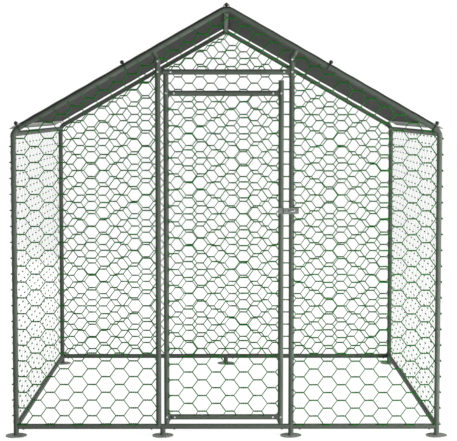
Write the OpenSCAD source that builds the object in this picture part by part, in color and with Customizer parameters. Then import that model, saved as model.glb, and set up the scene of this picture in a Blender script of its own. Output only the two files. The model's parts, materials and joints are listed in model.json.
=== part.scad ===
// Walk-in chicken run: a frame of bent steel tube with a pitched roof, wire netting on every
// side, an outward door on pivots with a hasp, and a fabric cover held by balls on elastic loops.

/* [Run] */
// Width over the corner tubes
run_w = 2000; // [1700:10:3000]
// Depth over the corner tubes
run_d = 2000; // [1500:10:4000]
// Height to the top of the ridge tube
run_h = 2000; // [1960:5:2300]
// Rise from the eave corner to the ridge corner, along the tube centre lines
roof_rise = 565; // [480:5:600]
// Height of the bottom rails' centre line
bottom_rail_z = 45; // [35:1:60]

/* [Tube] */
// Outside diameter of the frame tubes
tube_od = 25; // [22:0.5:28]
// Wall of the frame tubes
tube_wall = 1.2; // [1:0.1:2]
// Radius of the eave bends, on the tube's centre line
eave_bend_r = 45; // [36:1:60]
// Radius of the ridge bends, on the tube's centre line
ridge_bend_r = 45; // [36:1:70]
// Length of a spigot inside its tube
spigot_l = 50; // [40:1:80]
// Distance of the joint in a rafter from the ridge, across the run
rafter_joint_x = 500; // [450:5:560]

/* [Feet] */
// Diameter of a foot plate
foot_d = 100; // [70:1:140]
// Thickness of a foot plate
foot_t = 4; // [2:0.5:8]
// Half length of the sleeve on a foot under a straight rail
sleeve_half = 20; // [14:1:30]
// Height of the plain tube of a corner foot above the bottom rails
foot_shoulder = 2.5; // [1:0.5:8]

/* [Doorway] */
// Distance of the hinge post from the middle of the run
hinge_post_off = 318; // [280:1:360]
// Hinge post to hinge stile, centre to centre
hinge_gap = 38; // [34:0.5:50]
// Door width, centre to centre of its stiles
door_w = 533; // [420:1:580]
// Latch stile to latch post, centre to centre
latch_gap = 49.5; // [40:0.5:60]
// Foot of the lower slanting stub down to the header bar's centre line
header_under = 57.5; // [50:0.5:90]
// Header bar down to the door's top rail, centre to centre
door_drop = 98; // [89:1:200]
// Height of the door's bottom rail
door_bottom_z = 90; // [86:1:150]
// Latch stile's open end above the door's top rail
stile_over = 60; // [30:1:64]
// Length of the slanting stub from a door post to the rafter's centre line
stub_l = 46; // [40:1:60]
// Diameter of the slanting stub
stub_d = 24; // [20:0.5:24.5]
// Length of the stub's plug inside a door post
stub_plug_l = 36; // [25:1:40]

/* [Door pivots] */
// Diameter of the pivots
pivot_d = 10; // [8:0.5:12]
// How far the upper pivot bolt reaches into the hinge stile
bolt_depth = 40; // [20:1:60]
// How far the lower pivot pin reaches into the hinge stile
pin_depth = 16; // [10:1:18]
// Length of a bush inside the hinge stile
bush_l = 14; // [8:1:16]
// Thickness of a bush's flange
flange_t = 2; // [1:0.5:4]
// Diameter of the boss that the lower bush turns on
boss_d = 20; // [16:0.5:22]
// Diameter of the upper pivot bolt's head
bolt_head_d = 18; // [14:0.5:22]
// Height of the upper pivot bolt's head
bolt_head_h = 6; // [3:0.5:8]

/* [Tee fittings] */
// Length of a tee's collar from the upright's centre line
tee_l = 24; // [22:0.5:28]
// Radius of the collar's flare
flare_r = 10; // [6:0.5:11]
// Diameter of the tee's neck inside the upright
neck_d = 16; // [12:0.5:18]
// Distance of the rail screw from the upright's centre line
tee_screw_x = 37; // [32:0.5:45]

/* [Hasp] */
// Height of the hasp's centre
hasp_z = 1060; // [900:1:1300]
// Height of the hasp's plates
hasp_h = 27.5; // [20:0.5:40]
// Thickness of the hasp's plates
hasp_t = 2; // [1.5:0.1:3]
// Latch stile's centre line to the hasp pin
hasp_pin_x = 15.5; // [15:0.5:18]
// Hasp pin to the end of the flap
flap_l = 67; // [62:0.5:90]
// Outside diameter of the hasp's knuckles
knuckle_d = 7; // [6:0.5:9]
// Diameter of the hasp pin
hasp_pin_d = 3.2; // [2.5:0.1:4]
// Diameter of the staple's rod
staple_d = 5; // [4:0.5:6]
// Width of the staple between the centre lines of its legs
staple_w = 15; // [13:0.5:17]
// Reach of the staple in front of its post
staple_reach = 21; // [18:0.5:23]
// Height of the slot in the flap
slot_h = 7.5; // [7:0.5:12]

/* [Screws] */
// Diameter of a screw's shank
screw_d = 4.8; // [4:0.2:5.6]
// Length of a screw's shank
screw_l = 12; // [8:0.5:14]
// Diameter of a screw's head
screw_head_d = 9; // [8:0.5:11]
// Height of a screw's head
screw_head_h = 2.6; // [2:0.2:4]
// Distance of a rail's screw from the shoulder of its joint
screw_in = 22; // [15:0.5:28]

/* [Netting] */
// Thickness of the netting panels
net_t = 2.5; // [2:0.1:5]
// Cell of the netting panels, flat to flat
net_cell = 270; // [260:5:400]
// Width of a panel's strands
net_strand = 5; // [4:0.5:10]

/* [Cover] */
// Thickness of the cover
cover_t = 2; // [1:0.1:4]
// Height of the cover above the rafters at the eaves
cover_lift = 2; // [0:0.5:16]
// Distance of the cover's rear edge from the rear of the run
cover_rear_gap = 165; // [0:5:300]
// Distance of the rear loops' holes from the cover's rear edge
rear_hole_in = 20; // [12:1:40]
// Diameter of a ball
ball_d = 18.6; // [16:0.2:24]
// Diameter of the elastic
elastic_d = 4; // [3:0.2:5]
// Place of the middle loops along the rafter, across the run from the ridge
mid_loop_x = 470; // [300:5:700]
// Distance of the eave loops from the outside of the run
eave_loop_in = 38; // [38:1:80]

/* [Hidden] */
$fn = 48;

// Fits and cuts
fit_gap = 0.05;
cope_gap = 0.3;
pin_fit = 0.01;
body_gap = 0.4;
over = 1;
screw_clear = 0.2;

// Tube
tube_r = tube_od / 2;
bore_r = tube_r - tube_wall;
spigot_r = bore_r - fit_gap;
cope_r = tube_r + cope_gap;
// A bend and the straight tube beside it meet at a hairline, bridged inside the wall
seam = 0.05;
bridge = 1;
bridge_out_r = tube_r - tube_wall / 4;
bridge_in_r = bore_r + tube_wall / 4;

// Frame lines: uprights, ridge, eave and slope
post_x = run_w / 2 - tube_r;
post_y = run_d / 2 - tube_r;
pitch = atan(roof_rise / post_x);
ridge_z = run_h - tube_r;
ridge_corner_z = ridge_z + ridge_bend_r * (1 / cos(pitch) - 1);
eave_corner_z = ridge_corner_z - roof_rise;
eave_rail_z = eave_corner_z - tube_r;
eave_turn = 90 - pitch;
eave_bend_z = eave_corner_z - eave_bend_r * tan(eave_turn / 2);
eave_bend_x = post_x - eave_bend_r;
post_base = bottom_rail_z + tube_r + foot_shoulder;

// Doorway lines
hinge_post_x = -hinge_post_off;
hinge_x = hinge_post_x + hinge_gap;
latch_stile_x = hinge_x + door_w;
latch_post_x = latch_stile_x + latch_gap;
foot_hinge_x = (hinge_post_x + hinge_x) / 2;
header_z = min(stub_z(hinge_post_x), stub_z(latch_post_x)) - header_under;
door_top_z = header_z - door_drop;
latch_stile_top = door_top_z + stile_over;
hinge_sleeve_half = hinge_gap / 2 + tube_r;
boss_z = bottom_rail_z + tube_r + foot_shoulder;
hinge_stile_bottom = boss_z + body_gap + flange_t;
hinge_stile_top = header_z - tube_r - body_gap - flange_t;
pivot_r = pivot_d / 2;
stub_r = stub_d / 2;

// Tees and screws
neck_r = neck_d / 2;
neck_in_share = 0.75;
neck_in = neck_r * neck_in_share;
screw_r = screw_d / 2;
pilot_r = screw_r + pin_fit;
tee_plug_l = tee_screw_x + screw_in;
hinge_tee_screw_x = hinge_gap + screw_in;
hinge_tee_plug_l = hinge_tee_screw_x + screw_in / 2;

// Hasp
front_y = -post_y - tube_r;
pin_x = latch_stile_x + hasp_pin_x;
knuckle_r = knuckle_d / 2;
pin_y = front_y - knuckle_r;
hasp_pin_r = hasp_pin_d / 2;
knuckle_h = hasp_h / 4;
staple_r = staple_d / 2;
staple_bend_r = staple_w / 2;
slot_clear = 1.5;
slot_x0 = latch_post_x - pin_x - staple_bend_r - staple_r - slot_clear;
slot_far = latch_post_x - pin_x + staple_bend_r + staple_r;
slot_x1 = sqrt(slot_far * slot_far + staple_reach * staple_reach) + slot_clear;

// Cover and loops
cover_pitch = pitch - atan(cover_lift * cos(pitch) / post_x);
cover_l = run_d - cover_rear_gap;
rear_hole_y = cover_l - run_d / 2 - rear_hole_in;
rear_reach = post_y - rear_hole_y;
ridge_steps = 8;
ridge_step = 2 * cover_pitch / ridge_steps;
cover_r = (ridge_bend_r + tube_r + fit_gap) / cos(ridge_step / 2);
cover_line_z = ridge_z - ridge_bend_r + cover_r / cos(cover_pitch);
cover_slope_l = (run_w / 2 - cover_r * sin(cover_pitch)) / cos(cover_pitch);
ball_r = ball_d / 2;
elastic_r = elastic_d / 2;
loop_r = tube_r + elastic_r + fit_gap;
loop_corner_r = loop_r - ball_r - fit_gap;
ridge_ball_h = cover_r - ridge_bend_r + cover_t + ball_r + fit_gap;
eyelet_share = 1.5;
eyelet_r = elastic_r * eyelet_share;
rear_eyelet_r = loop_corner_r + fit_gap;
eave_loop_x = run_w / 2 - eave_loop_in;
ridge_loop_y = post_y - tube_r - 2 * elastic_d;
ridge_rear_loop_y = min(ridge_loop_y, rear_hole_y);

// Netting
net_gap = tube_r + cope_gap;
net_rafter_gap = loop_r + elastic_r + cope_gap;
net_bend_gap = 2;
net_side_x = run_w / 2 + cope_gap + net_t / 2;
cell_r = net_cell / sqrt(3);
hole_r = cell_r - net_strand / sqrt(3);
least_hole = net_strand * net_cell / 4;

tube_colour = [0.40, 0.44, 0.40];
bright = [0.78, 0.80, 0.80];
net_colour = [0.16, 0.30, 0.19];
cover_colour = [0.22, 0.25, 0.22];
black = [0.05, 0.05, 0.05];

// Height of the rafters' centre line at a distance x across from the ridge
function rafter_z(x) = ridge_corner_z - abs(x) * tan(pitch);
// Height where a door post meets its slanting stub
function stub_z(x) = rafter_z(x) - stub_l / cos(pitch);
// Distance along the rafter's normal from its centre line to the cover's underside
function cover_over(x) = (cover_line_z - tan(cover_pitch) * x - rafter_z(x))
    / (cos(pitch) + tan(cover_pitch) * sin(pitch));
// Height of a ball's centre along the rafter's normal
function ball_h(x) = cover_over(x) + (cover_t + ball_r) / cos(pitch - cover_pitch) + fit_gap;
// How far a loop leans in from the rafter's normal: upright at the front, reaching for the cover at the rear
function loop_lean(x, end) = end < 0 ? 0 : atan2(rear_reach, ball_h(x));
// Distance of a ball's centre from the rafter's centre line
function loop_h(x, end) = ball_h(x) / cos(loop_lean(x, end));

// Plain round bars along each axis
module rod_x(x0, x1, r) translate([x0, 0, 0]) rotate([0, 90, 0]) cylinder(h = x1 - x0, r = r);
module rod_y(y0, y1, r) translate([0, y0, 0]) rotate([-90, 0, 0]) cylinder(h = y1 - y0, r = r);
module rod_z(z0, z1, r) translate([0, 0, z0]) cylinder(h = z1 - z0, r = r);

// Straight tubes along each axis
module tube_x(x0, x1) {
    difference() {
        rod_x(x0, x1, tube_r);
        rod_x(x0 - over, x1 + over, bore_r);
    }
}

module tube_y(y0, y1) {
    difference() {
        rod_y(y0, y1, tube_r);
        rod_y(y0 - over, y1 + over, bore_r);
    }
}

module tube_z(z0, z1) {
    difference() {
        rod_z(z0, z1, tube_r);
        rod_z(z0 - over, z1 + over, bore_r);
    }
}

// Mirrored copies: children are drawn at the front right corner, with the frame's plane at y = 0
module mirror_x(on) {
    if (on) mirror([1, 0, 0]) children();
    else children();
}

module mirror_y(on) {
    if (on) mirror([0, 1, 0]) children();
    else children();
}

module at_corner(side, end) {
    mirror_y(end > 0) translate([0, -post_y, 0]) mirror_x(side < 0) children();
}

// Screw with its seat at the origin and its head along +Z
module screw() {
    cylinder(h = screw_head_h, r = screw_head_d / 2);
    rod_z(-screw_l, 0, screw_r);
}

module screw_hole(r) rod_z(-screw_l - over, over, r);

module at_front(x, z) translate([x, front_y - pin_fit, z]) rotate([90, 0, 0]) children();

module under_tube(p) translate(p - [0, 0, tube_r + pin_fit]) rotate([180, 0, 0]) children();

// Wall of a bend, and the ring that bridges its hairline to a straight tube along Y
module wall_ring() {
    difference() {
        circle(r = tube_r);
        circle(r = bore_r);
    }
}

module seam_bridge() {
    difference() {
        rod_y(-bridge, bridge, bridge_out_r);
        rod_y(-bridge - over, bridge + over, bridge_in_r);
    }
}

// The eave bend's own plane: centre of the bend at the origin, X outward, Y up
module in_eave_bend() translate([eave_bend_x, 0, eave_bend_z]) rotate([90, 0, 0]) children();

module in_ridge_bend() translate([0, 0, ridge_z - ridge_bend_r]) rotate([90, 0, 0]) children();

rafter_low_l = (eave_bend_x + eave_bend_r * cos(eave_turn) - rafter_joint_x) / cos(pitch);
rafter_high_l = (rafter_joint_x - ridge_bend_r * sin(pitch)) / cos(pitch);

// Upright, eave bend and lower rafter as one tube
module post_tube() {
    translate([post_x, 0, 0]) tube_z(post_base, eave_bend_z - seam);
    in_eave_bend() {
        rotate_extrude(angle = eave_turn) translate([eave_bend_r, 0]) wall_ring();
        translate([eave_bend_r, 0, 0]) seam_bridge();
        rotate([0, 0, eave_turn]) translate([eave_bend_r, 0, 0]) {
            seam_bridge();
            tube_y(seam, rafter_low_l);
        }
    }
}

// Solid bar that follows the same line, for cutting; its straights run on into the bend
module post_bar(r) {
    lap = tube_wall;
    translate([post_x, 0, 0]) rod_z(post_base - over, eave_bend_z + lap, r);
    in_eave_bend() {
        rotate_extrude(angle = eave_turn) translate([eave_bend_r, 0]) circle(r = r);
        rotate([0, 0, eave_turn]) translate([eave_bend_r, 0, 0]) rod_y(-lap, rafter_low_l + over, r);
    }
}

// Upper rafter along Y from the ridge bend, with a swaged end for the lower one
module upper_rafter() {
    shoulder = tube_r;
    swage_end = rafter_high_l + spigot_l;
    difference() {
        union() {
            rod_y(seam, rafter_high_l, tube_r);
            rod_y(rafter_high_l - shoulder, swage_end, spigot_r);
        }
        rod_y(seam - over, rafter_high_l - shoulder, bore_r);
        rod_y(rafter_high_l - shoulder - over, swage_end + over, spigot_r - tube_wall);
    }
}

// Ridge bend and upper rafters as one tube
module ridge_tube() {
    in_ridge_bend() {
        rotate([0, 0, eave_turn]) rotate_extrude(angle = 2 * pitch) translate([ridge_bend_r, 0]) wall_ring();
        for (side = [false, true])
            mirror_x(side) rotate([0, 0, 90 + pitch]) translate([ridge_bend_r, 0, 0]) {
                seam_bridge();
                upper_rafter();
            }
    }
}

module ridge_bar(r) {
    lap = tube_wall;
    in_ridge_bend() {
        rotate([0, 0, eave_turn]) rotate_extrude(angle = 2 * pitch) translate([ridge_bend_r, 0]) circle(r = r);
        for (side = [false, true])
            mirror_x(side) rotate([0, 0, 90 + pitch]) translate([ridge_bend_r, 0, 0])
                rod_y(-lap, rafter_high_l + lap, r);
    }
}

// Bars along the bends of a gable frame alone, for cutting the netting clear of them
module gable_bends(r) {
    for (side = [false, true])
        mirror_x(side) in_eave_bend() rotate_extrude(angle = eave_turn) translate([eave_bend_r, 0]) circle(r = r);
    in_ridge_bend() rotate([0, 0, eave_turn])
        rotate_extrude(angle = 2 * pitch) translate([ridge_bend_r, 0]) circle(r = r);
}

// Place on the rafter's centre line, with +Z along the rafter's outward normal
module on_rafter(x) translate([x, 0, rafter_z(x)]) rotate([0, pitch, 0]) children();

module joint_screw_place() {
    on_rafter(rafter_joint_x + screw_in * cos(pitch))
        translate([0, 0, -tube_r - pin_fit]) rotate([180, 0, 0]) children();
}

// Spigot along Y, welded to the tube that it stands on
module rail_spigot() {
    difference() {
        rod_y(0, tube_r + spigot_l, spigot_r);
        rod_y(-over, tube_r + spigot_l + over, spigot_r - tube_wall);
    }
}

// Corner post with a spigot for its eave rail
module corner_post(side, end) {
    color(tube_colour) at_corner(side, end) difference() {
        union() {
            post_tube();
            difference() {
                translate([post_x, 0, eave_rail_z]) rail_spigot();
                post_bar(bridge_in_r);
            }
        }
        joint_screw_place() screw_hole(screw_r + screw_clear);
        under_tube([post_x, tube_r + screw_in, eave_rail_z]) screw_hole(pilot_r);
    }
}

// Ridge bow with swaged ends and a spigot for the ridge beam
module bow_shell() {
    difference() {
        union() {
            ridge_tube();
            difference() {
                translate([0, 0, ridge_z]) rail_spigot();
                ridge_bar(bridge_in_r);
            }
        }
        for (side = [false, true]) mirror_x(side) joint_screw_place() screw_hole(pilot_r);
        under_tube([0, tube_r + screw_in, ridge_z]) screw_hole(pilot_r);
    }
}

// Cut at the mitre between a door post and its stub: keeps what lies below, or above
module mitre_block(x, above) {
    size = 4 * tube_od;
    lift = above ? -size : 0;
    translate([x, 0, stub_z(x)]) rotate([0, sign(x) * pitch / 2, 0])
        translate([-size / 2, -size / 2, lift]) cube(size);
}

// Slanting stub under the rafter, solid, with a plug for the door post
module post_stub(x, r) {
    difference() {
        translate([x, 0, stub_z(x)]) rotate([0, sign(x) * pitch, 0]) rod_z(-tube_od, stub_l, r);
        mitre_block(x, true);
    }
}

module door_post_stub(x) {
    difference() {
        post_stub(x, stub_r);
        ridge_bar(bridge_in_r);
        translate([x, -stub_r, stub_z(x)]) rotate([0, sign(x) * pitch, 0])
            translate([0, 0, screw_head_d]) rod_y(-over, stub_r, screw_r);
    }
    difference() {
        translate([x, 0, 0]) rod_z(stub_z(x) - stub_plug_l, stub_z(x) + tube_od, spigot_r);
        mitre_block(x, false);
        translate([x, -tube_r - pin_fit, stub_z(x) - screw_head_d]) rotate([90, 0, 0]) screw_hole(pilot_r);
    }
}

module ridge_bow(front) {
    color(tube_colour) mirror_y(!front) translate([0, -post_y, 0]) {
        bow_shell();
        if (front) {
            door_post_stub(hinge_post_x);
            door_post_stub(latch_post_x);
        }
    }
}

module ridge_beam() {
    color(tube_colour) difference() {
        translate([0, 0, ridge_z]) tube_y(-post_y, post_y);
        for (end = [-1, 1]) {
            translate([0, end * post_y, 0]) ridge_bar(cope_r);
            under_tube([0, end * (post_y - tube_r - screw_in), ridge_z])
                screw_hole(screw_r + screw_clear);
        }
    }
}

// Straight bar along the eave bend's tangent at the eave rail, wide enough to clear the bend
eave_cope_turn = asin((eave_rail_z - eave_bend_z) / eave_bend_r);
eave_cope_r = cope_r + tube_r * tube_r / (2 * eave_bend_r);

module eave_cope() {
    in_eave_bend() rotate([0, 0, eave_cope_turn]) translate([eave_bend_r, 0, 0])
        rod_y(-2 * tube_od, 2 * tube_od, eave_cope_r);
}

module eave_rail(side) {
    half = post_y - tube_r / 2;
    color(tube_colour) difference() {
        translate([side * post_x, 0, eave_rail_z]) tube_y(-half, half);
        for (end = [-1, 1]) {
            at_corner(side, end) eave_cope();
            under_tube([side * post_x, end * (post_y - tube_r - screw_in), eave_rail_z])
                screw_hole(screw_r + screw_clear);
        }
    }
}

// Bottom rail along X between two places, with its screw holes; it butts on what carries it
module bottom_rail_x(x0, x1, y, screws) {
    color(tube_colour) difference() {
        translate([0, y, bottom_rail_z]) tube_x(x0, x1);
        for (x = screws) under_tube([x, y, bottom_rail_z]) screw_hole(screw_r + screw_clear);
    }
}

module bottom_rail_y(side) {
    half = post_y - cope_r;
    color(tube_colour) difference() {
        translate([side * post_x, 0, bottom_rail_z]) tube_y(-half, half);
        for (end = [-1, 1])
            under_tube([side * post_x, end * (post_y - tube_r - screw_in), bottom_rail_z])
                screw_hole(screw_r + screw_clear);
    }
}

// Ends of the bottom rails and the places of their screws
rail_end_x = post_x - cope_r;
corner_screw_x = post_x - tube_r - screw_in;
hinge_sleeve_x = [foot_hinge_x - hinge_sleeve_half, foot_hinge_x + hinge_sleeve_half];
latch_sleeve_x = [latch_post_x - sleeve_half, latch_post_x + sleeve_half];
rear_sleeve_x = [-sleeve_half, sleeve_half];

function beside(sleeve) = [sleeve[0] - screw_in, sleeve[1] + screw_in];

module bottom_rail_front_left() {
    bottom_rail_x(-rail_end_x, hinge_sleeve_x[0], -post_y, [-corner_screw_x, beside(hinge_sleeve_x)[0]]);
}

module door_sill() {
    bottom_rail_x(hinge_sleeve_x[1], latch_sleeve_x[0], -post_y,
        [beside(hinge_sleeve_x)[1], beside(latch_sleeve_x)[0]]);
}

module bottom_rail_front_right() {
    bottom_rail_x(latch_sleeve_x[1], rail_end_x, -post_y, [beside(latch_sleeve_x)[1], corner_screw_x]);
}

module bottom_rail_rear_left() {
    bottom_rail_x(-rail_end_x, rear_sleeve_x[0], post_y, [-corner_screw_x, beside(rear_sleeve_x)[0]]);
}

module bottom_rail_rear_right() {
    bottom_rail_x(rear_sleeve_x[1], rail_end_x, post_y, [beside(rear_sleeve_x)[1], corner_screw_x]);
}

// Corner foot: plate, tube stub, and spigots for the post and two rails
module corner_foot(side, end) {
    color(tube_colour) at_corner(side, end) difference() {
        union() {
            translate([post_x, 0, 0]) {
                cylinder(h = foot_t, r = foot_d / 2);
                rod_z(foot_t, post_base, tube_r);
                rod_z(post_base, post_base + spigot_l, spigot_r);
                translate([0, 0, bottom_rail_z]) {
                    rod_x(-tube_r - spigot_l, 0, spigot_r);
                    rod_y(0, tube_r + spigot_l, spigot_r);
                }
            }
        }
        under_tube([corner_screw_x, 0, bottom_rail_z]) screw_hole(pilot_r);
        under_tube([post_x, tube_r + screw_in, bottom_rail_z]) screw_hole(pilot_r);
    }
}

// Foot under a straight rail: plate, stub, sleeve and two spigots, drawn at its own place
module rail_foot(half) {
    difference() {
        union() {
            cylinder(h = foot_t, r = foot_d / 2);
            rod_z(foot_t, bottom_rail_z, tube_r);
            translate([0, 0, bottom_rail_z]) {
                rod_x(-half, half, tube_r);
                rod_x(-half - spigot_l, half + spigot_l, spigot_r);
            }
        }
        for (side = [-1, 1])
            under_tube([side * (half + screw_in), 0, bottom_rail_z]) screw_hole(pilot_r);
    }
}

module foot_rear_middle() {
    color(tube_colour) translate([0, post_y, 0]) rail_foot(sleeve_half);
}

module post_spigot() rod_z(bottom_rail_z, bottom_rail_z + tube_r + spigot_l, spigot_r);

module foot_latch_side() {
    color(tube_colour) translate([latch_post_x, -post_y, 0]) {
        rail_foot(sleeve_half);
        post_spigot();
    }
}

// Foot that carries the hinge post and the door's lower pivot side by side
module foot_hinge_side() {
    color(tube_colour) translate([0, -post_y, 0]) difference() {
        union() {
            translate([foot_hinge_x, 0, 0]) rail_foot(hinge_sleeve_half);
            translate([hinge_post_x, 0, 0]) post_spigot();
            translate([hinge_x, 0, 0]) rod_z(bottom_rail_z, boss_z, boss_d / 2);
        }
        translate([hinge_x, 0, 0]) rod_z(bottom_rail_z, boss_z + over, pivot_r + pin_fit);
    }
}

module pivot_pin_lower() {
    color(bright) translate([hinge_x, -post_y, 0])
        rod_z(bottom_rail_z, hinge_stile_bottom + pin_depth, pivot_r);
}

module pivot_bolt_upper() {
    color(bright) translate([hinge_x, -post_y, 0]) {
        rod_z(hinge_stile_top - bolt_depth, header_z + tube_r + pin_fit, pivot_r);
        rod_z(header_z + tube_r + pin_fit, header_z + tube_r + bolt_head_h, bolt_head_d / 2);
    }
}

// Flared collar of a tee, grown by a clearance where it cuts its neighbours
module tee_flare(grow) {
    rotate([0, 90, 0]) rotate_extrude() difference() {
        square([tube_r + flare_r + grow, tee_l + grow]);
        translate([tube_r + flare_r + grow, tee_l + grow]) circle(r = flare_r);
    }
}

module tee_collar(grow) {
    wide = 2 * tube_r;
    deep = 2 * neck_r + 2 * grow;
    intersection() {
        tee_flare(grow);
        translate([0, -deep / 2, -wide]) cube([tee_l + grow, deep, 2 * wide]);
    }
}

// Tee: neck in the upright, collar outside, plug in the rail; drawn along +X from the upright
module tee(plug_l, rail_screw_x) {
    difference() {
        union() {
            difference() {
                tee_collar(0);
                rod_z(-2 * tube_od, 2 * tube_od, cope_r);
            }
            rod_x(-neck_in, tee_l, neck_r);
            rod_x(tee_l, plug_l, spigot_r);
        }
        for (x = [0, rail_screw_x])
            translate([x, -tube_r - pin_fit, 0]) rotate([90, 0, 0]) screw_hole(pilot_r);
    }
}

// Hole in an upright for a tee's neck, towards +X or -X
module neck_hole(toward) mirror_x(toward < 0) rod_x(0, tube_od, neck_r + fit_gap);

// Door post: coped on its foot's sleeve, mitred to its stub at the top
module door_post(x, toward) {
    color(tube_colour) translate([0, -post_y, 0]) difference() {
        translate([x, 0, 0]) tube_z(bottom_rail_z, stub_z(x) + tube_od);
        translate([0, 0, bottom_rail_z]) rod_x(x - tube_od, x + tube_od, cope_r);
        translate([0, 0, -fit_gap]) mitre_block(x, false);
        translate([x, 0, header_z]) neck_hole(toward);
        for (z = [header_z, stub_z(x) - screw_head_d])
            translate([x, -tube_r, z]) rotate([90, 0, 0]) screw_hole(screw_r + screw_clear);
        children();
    }
}

module door_post_hinge() door_post(hinge_post_x, 1);

module door_post_latch() {
    door_post(latch_post_x, -1)
        for (side = [-1, 1])
            translate([latch_post_x + side * staple_bend_r, 0, hasp_z]) rod_y(-tube_od, 0, staple_r + fit_gap);
}

module header() {
    color(tube_colour) difference() {
        translate([0, -post_y, header_z]) tube_x(hinge_post_x + tee_l, latch_post_x - tee_l);
        translate([hinge_x, -post_y, header_z]) rod_z(-tube_od, tube_od, pivot_r + fit_gap);
        for (x = [hinge_post_x + hinge_tee_screw_x, latch_post_x - tee_screw_x])
            at_front(x, header_z) screw_hole(screw_r + screw_clear);
    }
}

module header_tees() {
    color(tube_colour) translate([0, -post_y, header_z]) {
        difference() {
            translate([hinge_post_x, 0, 0]) tee(hinge_tee_plug_l, hinge_tee_screw_x);
            translate([hinge_x, 0, 0]) rod_z(-tube_od, tube_od, pivot_r + fit_gap);
        }
        translate([latch_post_x, 0, 0]) mirror_x(true) tee(tee_plug_l, tee_screw_x);
    }
}

module header_screws() {
    places = [hinge_post_x, hinge_post_x + hinge_tee_screw_x, latch_post_x - tee_screw_x, latch_post_x];
    color(bright) for (x = places) at_front(x, header_z) screw();
}

module post_top_screws() {
    color(bright) for (x = [hinge_post_x, latch_post_x]) at_front(x, stub_z(x) - screw_head_d) screw();
}

// Screws under the rails, the ridge beam and the rafter joints
module frame_screws() {
    side_y = post_y - tube_r - screw_in;
    front_x = concat([-corner_screw_x], beside(hinge_sleeve_x), beside(latch_sleeve_x), [corner_screw_x]);
    rear_x = concat([-corner_screw_x], beside(rear_sleeve_x), [corner_screw_x]);
    color(bright) {
        for (x = front_x) under_tube([x, -post_y, bottom_rail_z]) screw();
        for (x = rear_x) under_tube([x, post_y, bottom_rail_z]) screw();
        for (end = [-1, 1]) {
            under_tube([0, end * side_y, ridge_z]) screw();
            for (side = [-1, 1]) {
                under_tube([side * post_x, end * side_y, bottom_rail_z]) screw();
                under_tube([side * post_x, end * side_y, eave_rail_z]) screw();
                at_corner(side, end) joint_screw_place() screw();
            }
        }
    }
}

// Staple: a bent rod through the front wall of the latch post
module staple() {
    bend_y = staple_reach - staple_bend_r - staple_r;
    color(bright) translate([latch_post_x, front_y, hasp_z]) {
        for (side = [-1, 1]) translate([side * staple_bend_r, 0, 0]) rod_y(-bend_y, tube_r / 2, staple_r);
        translate([0, -bend_y, 0]) rotate([0, 0, 180])
            rotate_extrude(angle = 180) translate([staple_bend_r, 0]) circle(r = staple_r);
    }
}

// Places of the elastic loops: on the front and rear rafters, and on the ridge beam near the cover's ends.
// Children are drawn about the held tube's centre line, which runs along X, with +Z towards the ball.
module at_rafter_loops(x, end) {
    for (side = [-1, 1]) at_corner(side, end) on_rafter(x) rotate([-loop_lean(x, end), 0, 0]) children();
}

module at_ridge_loops() {
    for (y = [-ridge_loop_y, ridge_rear_loop_y]) translate([0, y, ridge_z]) rotate([0, 0, 90]) children();
}

module elastic_loop(h) {
    leg_top = h - loop_corner_r;
    bar_end = loop_r - loop_corner_r;
    rotate([-90, 0, -90]) rotate_extrude(angle = 180) translate([loop_r, 0]) circle(r = elastic_r);
    for (side = [false, true]) mirror_y(side) {
        translate([0, loop_r, 0]) rod_z(0, leg_top, elastic_r);
        translate([0, bar_end, leg_top]) rotate([90, 0, 90])
            rotate_extrude(angle = 90) translate([loop_corner_r, 0]) circle(r = elastic_r);
    }
    translate([0, 0, h]) rod_y(-bar_end, bar_end, elastic_r);
}

module elastic_ball(h) {
    translate([0, 0, h]) difference() {
        sphere(r = ball_r);
        rod_y(-ball_d, ball_d, elastic_r + fit_gap);
    }
}

// Clear way for the legs of a loop through the cover
module loop_way(h) {
    for (side = [-1, 1]) translate([0, side * loop_r, 0]) rod_z(-loop_r, h, eyelet_r);
}

// Hole in the cover under a rear ball, where the loop comes up through it
module rear_hole(x) {
    for (side = [-1, 1]) at_corner(side, 1) on_rafter(x)
        translate([0, rear_reach, 0]) rod_z(0, ball_h(x), rear_eyelet_r);
}

module loop_ways() {
    for (x = [mid_loop_x, eave_loop_x]) {
        at_rafter_loops(x, -1) loop_way(loop_h(x, -1));
        rear_hole(x);
    }
    at_ridge_loops() loop_way(ridge_ball_h);
}

module elastic_loops() {
    color(black) {
        for (end = [-1, 1], x = [mid_loop_x, eave_loop_x]) at_rafter_loops(x, end) elastic_loop(loop_h(x, end));
        at_ridge_loops() elastic_loop(ridge_ball_h);
    }
}

module elastic_balls() {
    color(black) {
        for (end = [-1, 1], x = [mid_loop_x, eave_loop_x]) at_rafter_loops(x, end) elastic_ball(loop_h(x, end));
        at_ridge_loops() elastic_ball(ridge_ball_h);
    }
}

// Profile of one face of the cover, from eave to eave over the ridge, about the bend's centre
function cover_face(r) = concat(
    [r * [-sin(cover_pitch), cos(cover_pitch)] + cover_slope_l * [-cos(cover_pitch), -sin(cover_pitch)]],
    [for (i = [0 : ridge_steps])
        let (a = i * ridge_step - cover_pitch) r * [sin(a), cos(a)]],
    [r * [sin(cover_pitch), cos(cover_pitch)] + cover_slope_l * [cos(cover_pitch), -sin(cover_pitch)]]);

function reversed(list) = [for (i = [len(list) - 1 : -1 : 0]) list[i]];

// Cover: rounded over the ridge, straight down both slopes, with holes for the loops
module roof_cover() {
    color(cover_colour) difference() {
        translate([0, cover_l - run_d / 2, ridge_z - ridge_bend_r]) rotate([90, 0, 0])
            linear_extrude(height = cover_l)
                polygon(concat(cover_face(cover_r), reversed(cover_face(cover_r + cover_t))));
        loop_ways();
    }
}

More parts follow.
